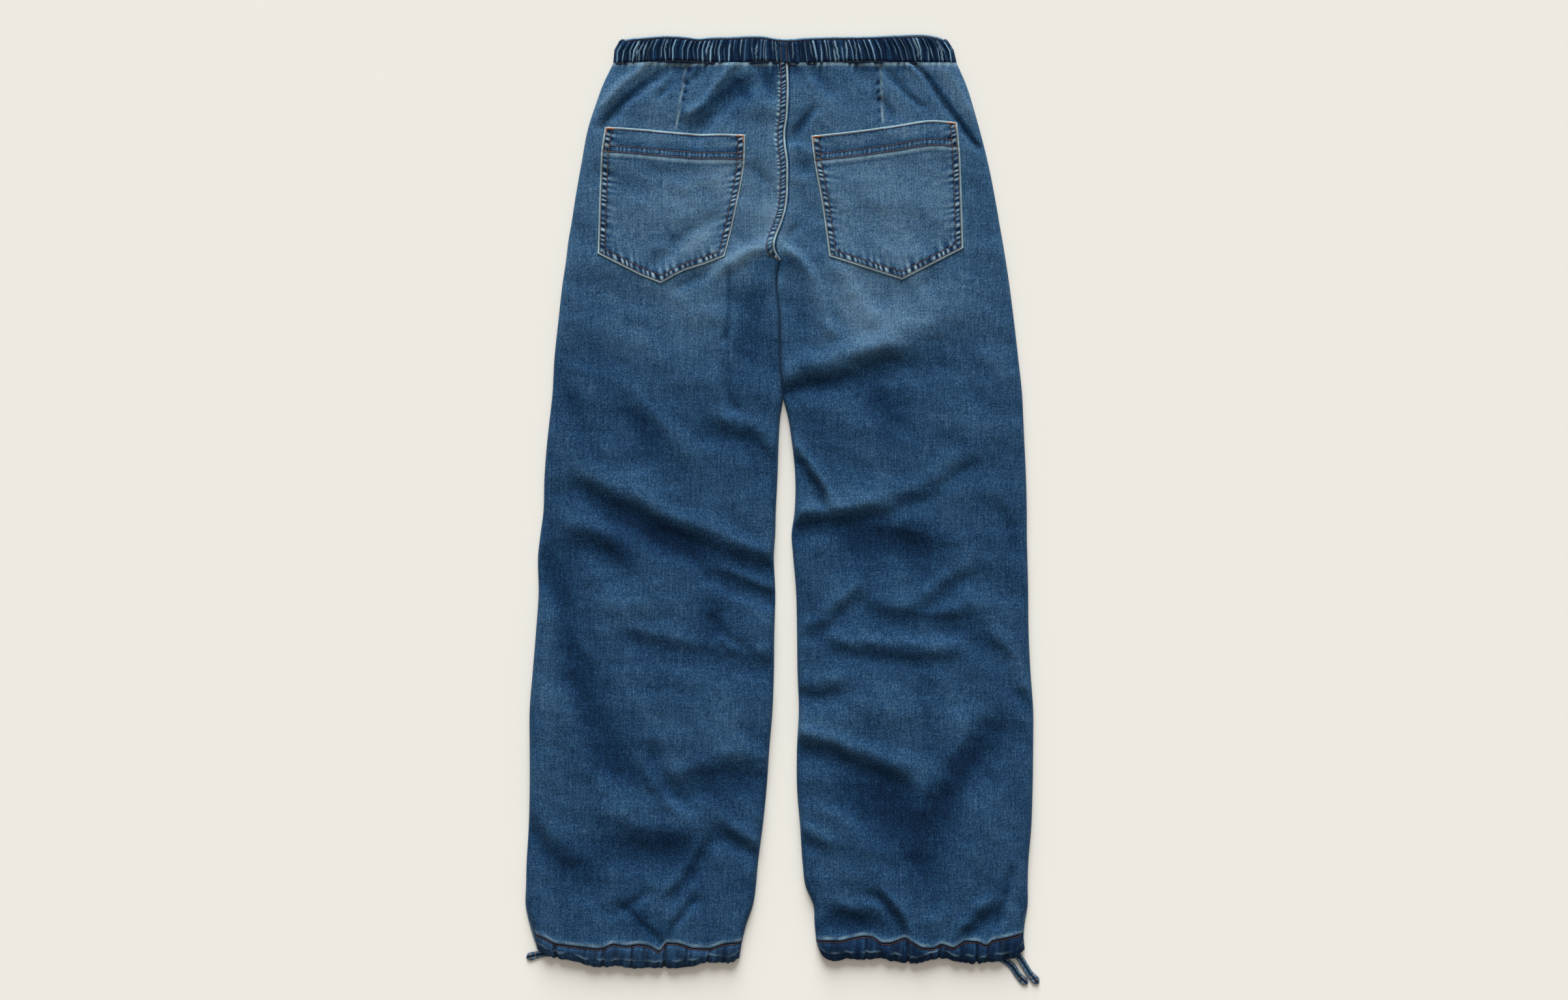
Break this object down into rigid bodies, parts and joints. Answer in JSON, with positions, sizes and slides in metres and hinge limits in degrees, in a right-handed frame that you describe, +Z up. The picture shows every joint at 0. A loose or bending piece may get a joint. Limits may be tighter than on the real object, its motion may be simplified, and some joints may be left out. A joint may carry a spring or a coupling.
{
  "type": "baggy jeans",
  "caption": "Baggy pull-on denim jeans laid flat, back side up, with a gathered elastic waist, two patch pockets on the seat and drawstring hems.",
  "frame": {"origin": "on the surface it lies on, below the middle of the laid-out garment, measured without the drawstring ends", "axes": "+Y along the garment from the hems to the waist, +X towards the wearer's right leg, +Z up out of the back of the garment"},
  "size_m": [0.5711, 1.0515, 0.0169],
  "materials": {
    "denim_back": "washed twill, lighter on the seat",
    "denim_front": "washed twill",
    "denim_casing": "gathered twill with pale worn ridges",
    "denim_pocket": "washed twill with pale worn edges",
    "tape": "folded and stitched flat cord of the same cloth"
  },
  "bodies": {
    "root": {"back_left": "denim_back", "back_right": "denim_back", "front_left": "denim_front", "front_right": "denim_front", "waistband_back": "denim_casing", "waistband_front": "denim_casing", "hem_left_back": "denim_casing", "hem_left_front": "denim_casing", "hem_right_back": "denim_casing", "hem_right_front": "denim_casing", "pocket_left": "denim_pocket", "pocket_right": "denim_pocket", "tie_left": "tape", "tie_right_inner": "tape", "tie_right_outer": "tape"}
  },
  "joints": []
}
